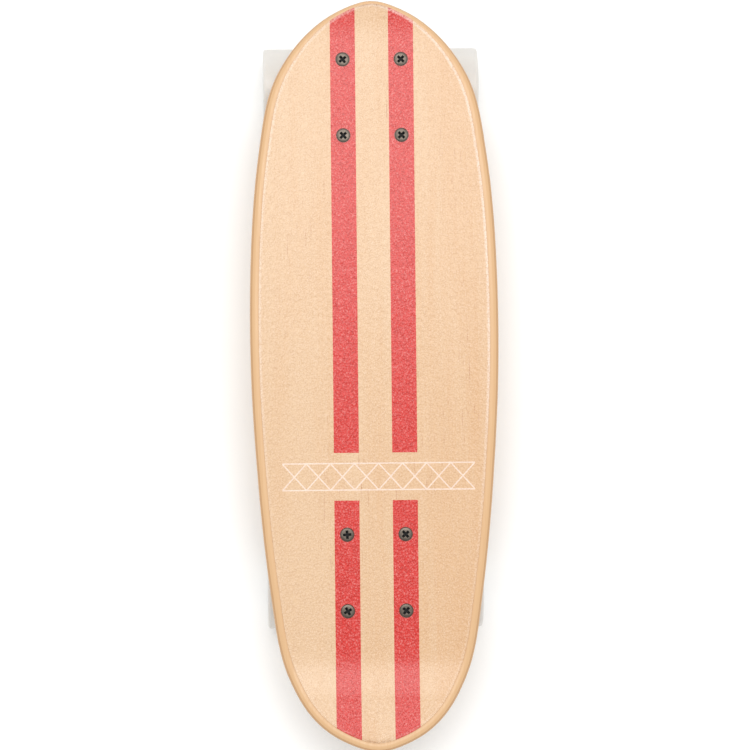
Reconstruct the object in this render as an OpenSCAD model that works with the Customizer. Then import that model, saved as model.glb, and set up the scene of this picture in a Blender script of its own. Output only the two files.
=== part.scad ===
// Small wooden cruiser skateboard: a kicktail deck on two kingpin trucks with four wheels.
// Millimetres. +X points to the nose, +Y to the left of someone facing the nose, +Z up.
// The floor is z = 0, and the origin lies on it under the middle of the deck.

/* [Deck] */
// Length of the deck from nose tip to tail tip, seen from above
deck_len = 530.6; // [515:0.1:545]
// Thickness of the pressed plies
deck_t = 10; // [9:0.5:11]
// Half-width of the flat strip down the middle
strip_half = 29; // [27:0.5:32]
// Height that the dished sides gain between the flat strip and the widest point
dish_rise = 4.5; // [0:0.5:8]
// Angle of the kicked tail in degrees
kick_angle = 15; // [5:1:22]
// Distance from the rear truck's middle to where the tail starts to bend up
kick_gap = 52; // [45:1:60]
// Angle of the nose in degrees
nose_angle = 6; // [2:1:10]
// Distance from the front truck's middle to where the nose starts to bend up
nose_gap = 36; // [34:1:40]
// Thickness of the clear grip sheet
grip_t = 0.8; // [0.5:0.1:1.2]
// Width of the bare edge that the grip sheet leaves round the deck
bare_edge = 6.2; // [5.6:0.1:7]

/* [Trucks] */
// Place of the front truck's bolt pattern along the deck
front_x = 196.5; // [190:0.5:200]
// Place of the rear truck's bolt pattern along the deck
rear_x = -140; // [-145:0.5:-130]
// Bolt spacing along the deck
bolt_dx = 53.975; // [53.5:0.025:54.5]
// Bolt spacing across the deck
bolt_dy = 41.275; // [41:0.025:41.6]
// Thickness of the riser pad
riser_t = 3; // [2:0.5:6]
// Thickness of the base plate
plate_t = 5.5; // [5:0.5:7]
// Width of the hanger between its speed rings
hanger_w = 84; // [80:1:90]
// Diameter of the axle
axle_d = 7.94; // [7.9:0.01:7.96]
// Lean of the kingpin from the vertical in degrees
kingpin_tilt = 20; // [17:1:22]

/* [Wheels] */
// Diameter of the wheel
wheel_d = 60; // [56:1:62]
// Width of the wheel
wheel_w = 45; // [42:1:46]
// Radius of the wheel's lips
wheel_lip = 2.5; // [1.5:0.5:5]

/* [Hidden] */
$fn = 64;
ENDS = ["front", "rear"];
SIDES = ["left", "right"];
TRUCK_PARTS = ["riser_pad", "truck_bolts", "truck_nuts", "baseplate", "pivot_cup", "kingpin",
               "kingpin_nut", "bottom_washer", "top_washer", "bottom_bushing", "top_bushing",
               "hanger", "axle", "axle_nuts", "speed_rings", "bearing_spacers", "inner_races"];
WHEEL_PARTS = ["wheel", "outer_races", "bearing_shields", "bearing_balls", "ball_cages"];

// Truck datum points, from the middle of the base plate's top: x outboard, z up
axle_x = 12;
axle_z = -47;
ring_x = -10;
ring_z = -31;
pivot_x = 27;
pivot_z = -10.5;
steer_tilt = atan2(pivot_z - ring_z, pivot_x - ring_x);

// Heights from the floor
wheel_r = wheel_d / 2;
plate_top = wheel_r - axle_z;
deck_bottom = plate_top + riser_t;
deck_top = deck_bottom + deck_t;
grip_top = deck_top + grip_t;

// Places along the deck where it starts to bend
kick_x = rear_x - kick_gap;
nose_x = front_x + nose_gap;
kick_r = 140;
nose_r = 200;
dish_span = 59;
dish_r = dish_span * dish_span / 2 / max(dish_rise, 0.1);

// Outline: the half-width is a girth times the sine of the angle round the deck, from nose to tail
girths = [82, 109, 113, 100, 91.5, 87.5, 87, 92.5, 106, 111, 86];
last_girth = len(girths) - 1;
rim_steps = 60;
edge_steps = 8;
nose_edge = 0.4;
nose_edge_end = 45;
side_cols = 4;
cap_cols = 2 * side_cols + 1;

// Kingpin stack, measured up the kingpin from the middle of the hanger's ring
web_half = 3;
ring_half = 5.5;
ring_r = 15.5;
seat_r = 12.5;
bushing_r = 12.2;
cone_r = 9.5;
bushing_bore = 5;
bushing_top = 18;
bushing_low = -15;
washer_t = 1.5;
kingpin_r = 4.76;
kingpin_hex = 14.3;
kingpin_low = -27.5;
boss_seat = bushing_top + washer_t;
head_low = boss_seat + 4;
head_h = 6;

// Pivot, measured from the tip's centre down the steering axis
tip_r = 5;
root_s = 10.5;
cup_r = 7;
cup_back = -6.4;
cup_mouth = 4;

// Gaps: between parts pressed or screwed together, and between parts with room to move
fit = 0.02;
slack = 0.05;

// How far a cutting shape runs past the faces it opens
past = 1;
through = 40;

// Fasteners
bolt_r = 2.41;
bolt_head_r = 4.65;
bolt_head_angle = 41;
bolt_len = 28.6;
bolt_land = 0.3;
bolt_hole_r = 2.75;
bolt_top = grip_top - 0.1;
nut_af = 9.5;
axle_r = axle_d / 2;
axle_half = 76.5;
axle_hole_r = axle_r + 0.08;
axle_nut_af = 12.7;

// Bearings, with the usual skate size of 8 x 22 x 7
race_r = 11;
race_w = 7;
bore_r = 4;
pitch_r = 7.5;
ball_r = 1.95;
groove_r = 2.05;
inner_land = 6.05;
outer_land = 8.9;
shield_r = 9.2;
ball_count = 7;
ring_t = 1;
in_bearing = hanger_w / 2 + ring_t;
spacer_len = 10;
out_bearing = in_bearing + race_w + spacer_len;
nut_seat = out_bearing + race_w + ring_t;
wheel_out = out_bearing + race_w / 2 + 14;
wheel_in = wheel_out - wheel_w;

// ---- deck surface ----

// Height gained past the start of a bend of radius r that ends at angle a
function bend(d, r, a) =
    d <= 0 ? 0
    : d < r * sin(a) ? r - sqrt(r * r - d * d)
    : r * (1 - cos(a)) + (d - r * sin(a)) * tan(a);

function dish(y) = pow(max(0, abs(y) - strip_half), 2) / 2 / dish_r;

// Height of a face of the deck that lies at height z on the flat strip
function deck_z(x, y, z) =
    z + bend(kick_x - x, kick_r, kick_angle) + bend(x - nose_x, nose_r, nose_angle) + dish(y);

function knot(i) = girths[last_girth - abs(last_girth - abs(i))];

function spline(p, q, r, s, t) =
    q + t / 2 * (r - p + t * (2 * p - 5 * q + 4 * r - s + t * (3 * (q - r) + s - p)));

function girth(a) =
    let (s = a / 180 * last_girth, i = floor(s))
    spline(knot(i - 1), knot(i), knot(i + 1), knot(i + 2), s - i);

function rim(a) = [deck_len / 2 * cos(a), girth(a > 180 ? 360 - a : abs(a)) * sin(a)];

// Share of its full width that the rounded edge has at angle a: it is tighter round the nose
function edge_share(a) =
    let (t = min(1, (a > 180 ? 360 - a : a) / nose_edge_end))
    nose_edge + (1 - nose_edge) * t * t * (3 - 2 * t);

// A point of the outline moved in by a share of d, square to the edge
function inset(a, d) =
    let (run = rim(a + 1) - rim(a - 1), out = [run[1], -run[0]] / norm(run))
    rim(a) - d * edge_share(a) * out;

// One closed loop of points round the deck, d in from the edge, on the face at height z
function loop_at(d, z) =
    [for (i = [0 : 2 * rim_steps - 1])
        let (p = inset(i * 180 / rim_steps, d))
        [p[0], p[1], deck_z(p[0], p[1], z)]];

// Distances across one row, from the rim to the flat strip, the middle and the other rim
function cap_y(w, c) =
    let (flat = min(strip_half, w / 2), k = abs(c - side_cols - 1))
    sign(side_cols + 1 - c) * (k == 0 ? 0 : flat + (w - flat) * (k - 1) / side_cols);

function cap_points(d, z) =
    [for (i = [1 : rim_steps - 1], c = [1 : cap_cols])
        let (p = inset(i * 180 / rim_steps, d), y = cap_y(p[1], c))
        [p[0], y, deck_z(p[0], y, z)]];

// Index of a cap's point in row i and column c, for a loop that starts at rim0
function cap_id(i, c, rim0, cap0) =
    i == 0 ? rim0
    : i == rim_steps ? rim0 + rim_steps
    : c == 0 ? rim0 + i
    : c > cap_cols ? rim0 + 2 * rim_steps - i
    : cap0 + (i - 1) * cap_cols + c - 1;

function turned(f, flip) = flip ? [f[0], f[2], f[1]] : f;

// Triangles of a cap, rows from the nose to the tail
function cap_faces(rim0, cap0, flip) =
    [for (i = [0 : rim_steps - 1], c = [0 : cap_cols])
        let (a = cap_id(i, c, rim0, cap0),
             b = cap_id(i, c + 1, rim0, cap0),
             e = cap_id(i + 1, c, rim0, cap0),
             f = cap_id(i + 1, c + 1, rim0, cap0))
        each concat(a == b ? [] : [turned([a, e, b], flip)],
                    e == f ? [] : [turned([b, e, f], flip)])];

// Triangles between loop k and loop k + 1
function band_faces(k) =
    let (n = 2 * rim_steps)
    [for (i = [0 : n - 1])
        let (a = k * n + i, b = k * n + (i + 1) % n)
        each [[a, b, a + n], [b, b + n, a + n]]];

// A sheet with the deck's outline, built from loops [inset, height] that run from top to bottom
module contoured(loops) {
    n = 2 * rim_steps;
    last = len(loops) - 1;
    cap0 = n * len(loops);
    cap1 = cap0 + cap_cols * (rim_steps - 1);
    points = concat(
        [for (l = loops) each loop_at(l[0], l[1])],
        cap_points(loops[0][0], loops[0][1]),
        cap_points(loops[last][0], loops[last][1]));
    faces = concat(
        cap_faces(0, cap0, true),
        [for (k = [0 : last - 1]) each band_faces(k)],
        cap_faces(last * n, cap1, false));
    polyhedron(points, faces, convexity = 6);
}

// ---- placing ----

module on_truck(end) {
    front = end == "front";
    translate([front ? front_x : rear_x, 0, plate_top])
        rotate([0, 0, front ? 0 : 180])
            children();
}

// Origin in the middle of the hanger's ring, +Z up the kingpin
module on_kingpin(t = 0) {
    translate([ring_x, 0, ring_z]) rotate([0, kingpin_tilt, 0]) translate([0, 0, t]) children();
}

// Origin at the pivot's tip, +Z down the steering axis
module on_pivot(t = 0) {
    translate([pivot_x, 0, pivot_z]) rotate([0, -90 - steer_tilt, 0]) translate([0, 0, t]) children();
}

// +Z along the axle, towards the truck's +Y end
module on_axle(y = 0) {
    translate([axle_x, y, axle_z]) rotate([-90, 0, 0]) children();
}

module both_ends() {
    children();
    mirror([0, 1, 0]) children();
}

module at_bolts() {
    for (x = [-bolt_dx / 2, bolt_dx / 2], y = [-bolt_dy / 2, bolt_dy / 2])
        translate([x, y, 0]) children();
}

// 1 where a wheel lies towards the truck's own +Y, and -1 where it lies the other way
function own_side(end, side) = (end == "front") == (side == "left") ? 1 : -1;

module on_wheel(end, side) {
    on_truck(end)
        mirror([0, own_side(end, side) > 0 ? 0 : 1, 0])
            on_axle()
                children();
}

module at_bearings() {
    for (y = [in_bearing, out_bearing])
        translate([0, 0, y + race_w / 2]) children();
}

// ---- shapes that repeat ----

module tube(r_out, r_in, h) {
    difference() {
        cylinder(r = r_out, h = h);
        translate([0, 0, -past]) cylinder(r = r_in, h = h + 2 * past);
    }
}

module hexagon(across, h) {
    cylinder(d = across / cos(30), h = h, $fn = 6);
}

// A hexagon with its seat's corners cut back, under the round collar that locks the thread
module lock_nut(across, hex_h, collar_r, collar_h, hole_r) {
    seat_face_r = across / 2 + 0.2;
    cut_slope = 3;
    all_h = hex_h + collar_h;
    difference() {
        union() {
            intersection() {
                hexagon(across, hex_h);
                cylinder(r1 = seat_face_r, r2 = seat_face_r + cut_slope * hex_h, h = hex_h);
            }
            cylinder(r = collar_r, h = all_h);
        }
        translate([0, 0, -past]) cylinder(r = hole_r, h = all_h + 2 * past);
    }
}

module rounded_plate(l, w, r, h) {
    linear_extrude(h) {
        square([l - 2 * r, w], center = true);
        square([l, w - 2 * r], center = true);
        for (x = [-1, 1], y = [-1, 1])
            translate([x * (l / 2 - r), y * (w / 2 - r)]) circle(r);
    }
}

// The room a truck bolt's head and shank need, from the deck's bottom to above the grip
module bolt_sink() {
    sink_r = bolt_head_r + slack;
    cone_h = (sink_r - bolt_hole_r) / tan(bolt_head_angle);
    sink_z = bolt_top - bolt_land;
    translate([0, 0, deck_bottom - past]) cylinder(r = bolt_hole_r, h = 2 * deck_t);
    translate([0, 0, sink_z - cone_h]) cylinder(r1 = bolt_hole_r, r2 = sink_r, h = cone_h);
    translate([0, 0, sink_z]) cylinder(r = sink_r, h = deck_t);
}

module all_bolt_sinks() {
    for (x = [front_x, rear_x]) translate([x, 0, 0]) at_bolts() bolt_sink();
}

// ---- deck ----

module deck() {
    r = deck_t / 2;
    half_round = [for (k = [0 : edge_steps])
        let (a = 90 - 180 * k / edge_steps)
        [r * (1 - cos(a)), deck_bottom + r + r * sin(a)]];
    color("burlywood")
        difference() {
            contoured(concat([[bare_edge, deck_top]], half_round));
            all_bolt_sinks();
        }
}

module grip_sheet() {
    bevel = 0.4;
    color("bisque", 0.5)
        difference() {
            contoured([[bare_edge + bevel, grip_top],
                       [bare_edge, grip_top - bevel],
                       [bare_edge, deck_top]]);
            all_bolt_sinks();
        }
}

// ---- parts fixed to the deck ----

module riser_pad() {
    riser_len = 87;
    riser_w = 58;
    corner_r = 9;
    color("dimgray")
        difference() {
            rounded_plate(riser_len, riser_w, corner_r, riser_t);
            translate([0, 0, -past]) at_bolts() cylinder(r = bolt_hole_r, h = riser_t + 2 * past);
        }
}

module truck_bolt() {
    cone_h = (bolt_head_r - bolt_r) / tan(bolt_head_angle);
    slot_w = 1.1;
    slot_len = 4.8;
    slot_depth = 1.7;
    head_z = bolt_top - plate_top;
    translate([0, 0, head_z])
        difference() {
            union() {
                translate([0, 0, -bolt_land]) cylinder(r = bolt_head_r, h = bolt_land);
                translate([0, 0, -bolt_land - cone_h])
                    cylinder(r1 = bolt_r, r2 = bolt_head_r, h = cone_h);
                translate([0, 0, -bolt_len]) cylinder(r = bolt_r, h = bolt_len - bolt_land - cone_h);
            }
            for (turn = [45, 135])
                rotate([0, 0, turn])
                    translate([-slot_len / 2, -slot_w / 2, -slot_depth])
                        cube([slot_len, slot_w, slot_depth + past]);
        }
}

module truck_bolts() {
    color("slategray") at_bolts() truck_bolt();
}

module truck_nuts() {
    hex_h = 4.2;
    collar_r = 4.3;
    collar_h = 1.6;
    color("silver")
        translate([0, 0, -plate_t])
            at_bolts()
                rotate([180, 0, 0])
                    lock_nut(nut_af, hex_h, collar_r, collar_h, bolt_r + fit);
}

module below_plate_top() {
    reach = 60;
    intersection() {
        children();
        translate([-reach, -reach, -reach]) cube([2 * reach, 2 * reach, reach]);
    }
}

module baseplate() {
    plate_len = 85;
    plate_w = 56;
    corner_r = 8;
    kingpin_boss_r = 12;
    head_room_r = 8.6;
    pivot_boss_r = 10.5;
    boss_wall = 2.5;
    rib_x = 5;
    rib_y = 10;
    rib = [24, 3, 5];
    rib_depth = 4.5;
    color("silver")
        difference() {
            union() {
                translate([0, 0, -plate_t]) rounded_plate(plate_len, plate_w, corner_r, plate_t);
                below_plate_top() on_kingpin(boss_seat) cylinder(r = kingpin_boss_r, h = through);
                below_plate_top()
                    on_pivot(cup_back - boss_wall)
                        cylinder(r = pivot_boss_r, h = cup_mouth - cup_back + boss_wall);
                for (y = [-rib_y, rib_y])
                    translate([rib_x, y - rib[1] / 2, -plate_t - rib_depth]) cube(rib);
            }
            translate([0, 0, -plate_t - past])
                at_bolts()
                    cylinder(r = bolt_hole_r, h = plate_t + 2 * past);
            on_kingpin(boss_seat - past) cylinder(r = kingpin_r + slack, h = through);
            on_kingpin(head_low) cylinder(r = head_room_r, h = through);
            on_pivot(cup_back) cylinder(r = cup_r + fit, h = through);
        }
}

module pivot_cup() {
    flange = 1.4;
    flange_t = 1.2;
    color("dimgray")
        difference() {
            union() {
                on_pivot(cup_back) cylinder(r = cup_r, h = cup_mouth - cup_back);
                on_pivot(cup_mouth) cylinder(r = cup_r + flange, h = flange_t);
            }
            on_pivot() sphere(r = tip_r + slack);
            on_pivot() cylinder(r = tip_r + slack, h = through);
        }
}

module kingpin() {
    point = 1;
    color("gainsboro") {
        on_kingpin(kingpin_low + point) cylinder(r = kingpin_r, h = head_low - kingpin_low - point);
        on_kingpin(kingpin_low) cylinder(r1 = kingpin_r - point, r2 = kingpin_r, h = point);
        on_kingpin(head_low) hexagon(kingpin_hex, head_h);
    }
}

module kingpin_nut() {
    hex_h = 6.5;
    collar_r = 6.6;
    collar_h = 2;
    color("silver")
        on_kingpin(bushing_low - washer_t)
            rotate([180, 0, 0])
                lock_nut(kingpin_hex, hex_h, collar_r, collar_h, kingpin_r + fit);
}

// A cup washer: a disc with a rim that holds the end of a bushing of radius r
module cup_washer(r) {
    rim_t = 1.1;
    rim_h = 1.5;
    gap = 0.15;
    hole_r = kingpin_r + 0.3;
    tube(r + gap + rim_t, hole_r, washer_t);
    translate([0, 0, -rim_h]) tube(r + gap + rim_t, r + gap, rim_h);
}

module bottom_washer() {
    color("gainsboro") on_kingpin(bushing_top) cup_washer(bushing_r);
}

module top_washer() {
    color("gainsboro") on_kingpin(bushing_low) rotate([180, 0, 0]) cup_washer(cone_r);
}

module bottom_bushing() {
    h = bushing_top - web_half;
    soft = 1;
    color("tomato")
        on_kingpin(web_half)
            rotate_extrude()
                polygon([[bushing_bore, 0], [bushing_r - soft, 0], [bushing_r, soft],
                         [bushing_r, h - soft], [bushing_r - soft, h], [bushing_bore, h]]);
}

module top_bushing() {
    h = -bushing_low - web_half;
    soft = 1;
    color("tomato")
        on_kingpin(bushing_low)
            rotate_extrude()
                polygon([[bushing_bore, 0], [cone_r - soft, 0], [cone_r, soft],
                         [bushing_r, h - 2 * soft], [bushing_r, h - soft],
                         [bushing_r - soft, h], [bushing_bore, h]]);
}

// ---- parts that steer ----

module hanger() {
    half = hanger_w / 2;
    barrel = [[0, 0], [7.2, 0], [7.6, 0.4], [7.6, 5.5], [9.2, 8], [12.2, half - 10], [12.2, half]];
    neck = [[0, -ring_r], [20, -20], [26, -20], [26, 20], [20, 20], [0, ring_r]];
    gusset = [[-26, axle_z + 7], [-5, axle_z + 25], [5, axle_z + 25], [26, axle_z + 7],
              [20, axle_z], [-20, axle_z]];
    post_foot_r = 10;
    post_r = 5.8;
    gusset_t = 6;
    middle_bore = 8;
    washer_room = 0.7;
    // The post leads from inside the axle's housing up to the root of the pivot's tip
    foot = [axle_x + 1, axle_z + 3];
    post = [pivot_x - root_s * cos(steer_tilt), pivot_z - root_s * sin(steer_tilt)] - foot;
    color("silver")
        difference() {
            union() {
                both_ends() on_axle(-half) rotate_extrude() polygon(concat(barrel, [[0, half]]));
                on_kingpin(-ring_half) cylinder(r = ring_r, h = 2 * ring_half);
                on_kingpin(-ring_half) linear_extrude(2 * ring_half - 1) polygon(neck);
                translate([axle_x - gusset_t / 3, 0, 0])
                    rotate([90, 0, 90])
                        linear_extrude(gusset_t)
                            polygon(gusset);
                translate([foot[0], 0, foot[1]])
                    rotate([0, atan2(post[0], post[1]), 0]) {
                        cylinder(r1 = post_foot_r, r2 = post_r, h = norm(post));
                        translate([0, 0, norm(post)]) sphere(r = post_r);
                    }
                on_pivot() cylinder(r = tip_r, h = root_s);
                on_pivot() sphere(r = tip_r);
            }
            on_kingpin(-through) cylinder(r = middle_bore, h = 2 * through);
            on_kingpin(web_half) cylinder(r = seat_r, h = through);
            on_kingpin(-ring_half - past) cylinder(r = seat_r, h = ring_half + past - web_half);
            on_kingpin(-ring_half - through) cylinder(r = seat_r + washer_room, h = through);
            on_axle(-half - past) cylinder(r = axle_r + fit / 2, h = hanger_w + 2 * past);
        }
}

module axle() {
    point = [0.8, 1];
    body = axle_half - point[1];
    color("gainsboro") {
        on_axle(-body) cylinder(r = axle_r, h = 2 * body);
        both_ends() on_axle(body) cylinder(r1 = axle_r, r2 = axle_r - point[0], h = point[1]);
    }
}

module axle_nuts() {
    hex_h = 4.6;
    collar_r = 5.6;
    collar_h = 1.4;
    color("silver")
        both_ends()
            on_axle(nut_seat)
                lock_nut(axle_nut_af, hex_h, collar_r, collar_h, axle_r + fit);
}

module speed_rings() {
    speed_ring_r = 6;
    color("gainsboro")
        both_ends()
            for (y = [hanger_w / 2, nut_seat - ring_t])
                on_axle(y) tube(speed_ring_r, axle_hole_r, ring_t);
}

module bearing_spacers() {
    spacer_r = 5.3;
    color("silver")
        both_ends() on_axle(in_bearing + race_w) tube(spacer_r, axle_hole_r, spacer_len);
}

module inner_races() {
    color("gainsboro")
        both_ends()
            on_axle()
                at_bearings()
                    difference() {
                        translate([0, 0, -race_w / 2]) tube(inner_land, bore_r, race_w);
                        rotate_extrude() translate([pitch_r, 0]) circle(groove_r);
                    }
}

// ---- parts that turn with a wheel ----

module wheel() {
    shoulder = 9.4;
    recess = 12.5;
    lip_step = 22.5;
    lip = [for (a = [0 : lip_step : 90]) [wheel_r - wheel_lip + wheel_lip * sin(a),
                                          wheel_in + wheel_lip - wheel_lip * cos(a)]];
    far_lip = [for (a = [90 : -lip_step : 0]) [wheel_r - wheel_lip + wheel_lip * sin(a),
                                               wheel_out - wheel_lip + wheel_lip * cos(a)]];
    core = [[recess, wheel_out], [recess, out_bearing + race_w], [race_r, out_bearing + race_w],
            [race_r, out_bearing], [shoulder, out_bearing], [shoulder, in_bearing + race_w],
            [race_r, in_bearing + race_w], [race_r, in_bearing], [recess, in_bearing],
            [recess, wheel_in]];
    color("whitesmoke") rotate_extrude() polygon(concat(lip, far_lip, core));
}

module outer_races() {
    step = 0.75;
    color("gainsboro")
        at_bearings()
            difference() {
                translate([0, 0, -race_w / 2]) tube(race_r, outer_land, race_w);
                rotate_extrude() translate([pitch_r, 0]) circle(groove_r);
                for (z = [-race_w / 2 - past, race_w / 2 - step])
                    translate([0, 0, z]) cylinder(r = shield_r, h = step + past);
            }
}

module bearing_shields() {
    shield_t = 0.4;
    depth = 0.3;
    gap = 0.3;
    color("dimgray")
        at_bearings()
            for (z = [-race_w / 2 + depth, race_w / 2 - depth - shield_t])
                translate([0, 0, z]) tube(shield_r, inner_land + gap, shield_t);
}

module at_balls() {
    for (i = [0 : ball_count - 1])
        rotate([0, 0, i * 360 / ball_count]) translate([pitch_r, 0, 0]) children();
}

module bearing_balls() {
    color("white") at_bearings() at_balls() sphere(r = ball_r);
}

module ball_cages() {
    cage_out = 8.4;
    cage_in = 6.6;
    cage_z = -0.6;
    cage_h = 3;
    color("goldenrod")
        at_bearings()
            difference() {
                translate([0, 0, cage_z]) tube(cage_out, cage_in, cage_h);
                at_balls() sphere(r = ball_r + slack);
            }
}

// ---- assembly ----

module truck_part(name) {
    if (name == "riser_pad") riser_pad();
    if (name == "truck_bolts") truck_bolts();
    if (name == "truck_nuts") truck_nuts();
    if (name == "baseplate") baseplate();
    if (name == "pivot_cup") pivot_cup();
    if (name == "kingpin") kingpin();
    if (name == "kingpin_nut") kingpin_nut();
    if (name == "bottom_washer") bottom_washer();
    if (name == "top_washer") top_washer();
    if (name == "bottom_bushing") bottom_bushing();
    if (name == "top_bushing") top_bushing();
    if (name == "hanger") hanger();
    if (name == "axle") axle();
    if (name == "axle_nuts") axle_nuts();
    if (name == "speed_rings") speed_rings();
    if (name == "bearing_spacers") bearing_spacers();
    if (name == "inner_races") inner_races();
}

module wheel_part(name) {
    if (name == "wheel") wheel();
    if (name == "outer_races") outer_races();
    if (name == "bearing_shields") bearing_shields();
    if (name == "bearing_balls") bearing_balls();
    if (name == "ball_cages") ball_cages();
}

deck();
grip_sheet();
for (end = ENDS, part = TRUCK_PARTS)
    on_truck(end) truck_part(part);
for (end = ENDS, side = SIDES, part = WHEEL_PARTS)
    on_wheel(end, side) wheel_part(part);
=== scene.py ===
"""Looks of a small wooden cruiser skateboard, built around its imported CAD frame."""

import math

import bmesh
import bpy
import numpy as np
from mathutils import Matrix, Vector
from mathutils.kdtree import KDTree


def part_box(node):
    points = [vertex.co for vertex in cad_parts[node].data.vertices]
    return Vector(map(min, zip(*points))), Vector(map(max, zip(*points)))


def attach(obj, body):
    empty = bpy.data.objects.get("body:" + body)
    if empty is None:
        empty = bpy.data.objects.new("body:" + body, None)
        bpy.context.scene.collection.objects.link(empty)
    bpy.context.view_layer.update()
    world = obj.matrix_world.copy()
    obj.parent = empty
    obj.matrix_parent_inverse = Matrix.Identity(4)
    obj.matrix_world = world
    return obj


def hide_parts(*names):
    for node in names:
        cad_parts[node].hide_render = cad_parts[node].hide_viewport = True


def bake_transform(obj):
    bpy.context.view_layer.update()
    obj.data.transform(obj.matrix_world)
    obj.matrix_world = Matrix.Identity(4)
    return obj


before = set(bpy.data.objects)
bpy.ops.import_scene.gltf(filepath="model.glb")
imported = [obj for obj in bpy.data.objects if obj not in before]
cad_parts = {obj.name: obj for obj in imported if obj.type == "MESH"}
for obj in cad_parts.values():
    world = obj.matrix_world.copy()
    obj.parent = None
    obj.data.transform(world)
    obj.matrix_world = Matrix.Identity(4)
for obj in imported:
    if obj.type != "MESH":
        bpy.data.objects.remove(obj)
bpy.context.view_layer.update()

# All lengths below are in millimetres. MM turns them into the frame's metres.
MM = 0.001
ENDS = ("front", "rear")
SIDES = ("left", "right")


def box_mm(node):
    lo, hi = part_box(node)
    return np.array(lo) / MM, np.array(hi) / MM


# ---- sizes, read from the frame where a box gives them ----

deck_lo, deck_hi = box_mm("deck")
DECK_LEN = deck_hi[0] - deck_lo[0]
pad_lo, pad_hi = box_mm("front_riser_pad")
PLATE_TOP, DECK_BOTTOM = pad_lo[2], pad_hi[2]
DECK_T = 10.0
BARE_EDGE = 6.2
GRIP_T = 0.8
DECK_TOP = DECK_BOTTOM + DECK_T
GRIP_TOP = DECK_TOP + GRIP_T
TRUCK_X = {e: (box_mm(e + "_riser_pad")[0][0] + box_mm(e + "_riser_pad")[1][0]) / 2 for e in ENDS}

# The deck's shape, as the CAD design has it: flat along the middle, and rising towards both sides
STRIP_HALF = 29.0
DISH_WIDTH, DISH_RISE = 59.0, 4.5
DISH_R = DISH_WIDTH**2 / 2 / DISH_RISE
KICK_X, KICK_R, KICK_ANGLE = TRUCK_X["rear"] - 52.0, 140.0, 15.0
NOSE_X, NOSE_R, NOSE_ANGLE = TRUCK_X["front"] + 36.0, 200.0, 6.0
# Half widths of the ellipses that the outline follows, at even angles from the nose to the tail
GIRTHS = np.array([82, 109, 113, 100, 91.5, 87.5, 87, 92.5, 106, 111, 86])
# The rounded edge is narrower round the nose, and has its full width from this angle on
NOSE_EDGE_SHARE, FULL_EDGE_ANGLE = 0.4, 45

# The grip's printed bands lie over the two rows of bolts. A border fills the gap that splits them.
BAND_HALF = 8.85
GAP_X, GAP_HALF = -72.1, 16.7
BORDER_Y, BORDER_HALF = -2.0, 68.0
ZIGZAG_STEP, ZIGZAG_TALL = 17.0, 18.8
GRIP_HOLE_R = 4.95

# A truck's axle and hanger ring, from the middle of its base plate's top, as x outboard and height
AXLE = (12.0, -47.0)
RING = (-10.0, -31.0)
KINGPIN_TILT = math.radians(20)
BOLT_DX, BOLT_DY = 53.975 / 2, 41.275 / 2
PLATE_T = 5.5
BOLT_R, BOLT_HEAD_R, BOLT_LEN = 2.41, 4.65, 28.6
BOLT_TOP = GRIP_TOP - 0.1
BOLT_RIM = 0.3
SINK_SLOPE = math.tan(math.radians(41))
BOLT_CONE = (BOLT_HEAD_R - BOLT_R) / SINK_SLOPE
FINE_PITCH, COARSE_PITCH = 0.794, 1.058
KINGPIN_R = 4.76
BUSHING_R, CONE_R = 12.2, 9.5
BUSHING_TOP, BUSHING_LOW, WEB_HALF, WASHER_T = 18.0, -15.0, 3.0, 1.5
AXLE_R, AXLE_HALF = 3.97, 76.5
HANGER_HALF, RING_T, RACE_W, SPACER = 42.0, 1.0, 7.0, 10.0
IN_BEARING = HANGER_HALF + RING_T
OUT_BEARING = IN_BEARING + RACE_W + SPACER
NUT_SEAT = OUT_BEARING + RACE_W + RING_T
WHEEL_R, WHEEL_W = 30.0, 45.0
WHEEL_IN = OUT_BEARING + RACE_W / 2 + 14 - WHEEL_W
WHEEL_RECESS_R = 12.5
RACE_R, BORE_R, PITCH_R, GROOVE_R = 11.0, 4.0, 7.5, 2.05
INNER_LAND, OUTER_LAND, STEP_R = 6.05, 8.9, 9.2


# ---- mesh tools ----


def make(name, verts, faces, sharp=35.0):
    """A mesh object from points in millimetres, smooth up to the sharp angle."""
    mesh = bpy.data.meshes.new(name)
    mesh.from_pydata((np.asarray(verts, float) * MM).tolist(), [], faces)
    obj = bpy.data.objects.new(name, mesh)
    bpy.context.scene.collection.objects.link(obj)
    tidy(obj, sharp)
    return obj


def tidy(obj, sharp=35.0):
    """Welds, turns the faces outwards and marks the sharp edges."""
    bm = bmesh.new()
    bm.from_mesh(obj.data)
    bmesh.ops.remove_doubles(bm, verts=bm.verts, dist=1e-7)
    bmesh.ops.recalc_face_normals(bm, faces=bm.faces)
    bm.to_mesh(obj.data)
    bm.free()
    obj.data.shade_smooth()
    obj.data.set_sharp_from_angle(angle=math.radians(sharp))


def shell(rings, loop=False):
    """Points and faces through rings of equal point counts. Its ends are closed, or join if loop."""
    rings = np.asarray(rings, float)
    m, n = rings.shape[:2]
    k = np.arange(m if loop else m - 1)[:, None]
    i = np.arange(n)[None]
    here, up = k * n, (k + 1) % m * n
    quads = np.stack([here + i, here + (i + 1) % n, up + (i + 1) % n, up + i], -1)
    faces = quads.reshape(-1, 4).tolist()
    if not loop:
        faces += [list(range(n))[::-1], list(range((m - 1) * n, m * n))]
    return rings.reshape(-1, 3), faces


def placed(part, matrix):
    verts, faces = part
    m = np.array(matrix)
    return np.asarray(verts) @ m[:3, :3].T + m[:3, 3], faces


def together(parts):
    """One set of points and faces from several."""
    verts, faces, base = [], [], 0
    for v, f in parts:
        verts.append(v)
        faces += [[i + base for i in face] for face in f]
        base += len(v)
    return np.concatenate(verts), faces


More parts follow.
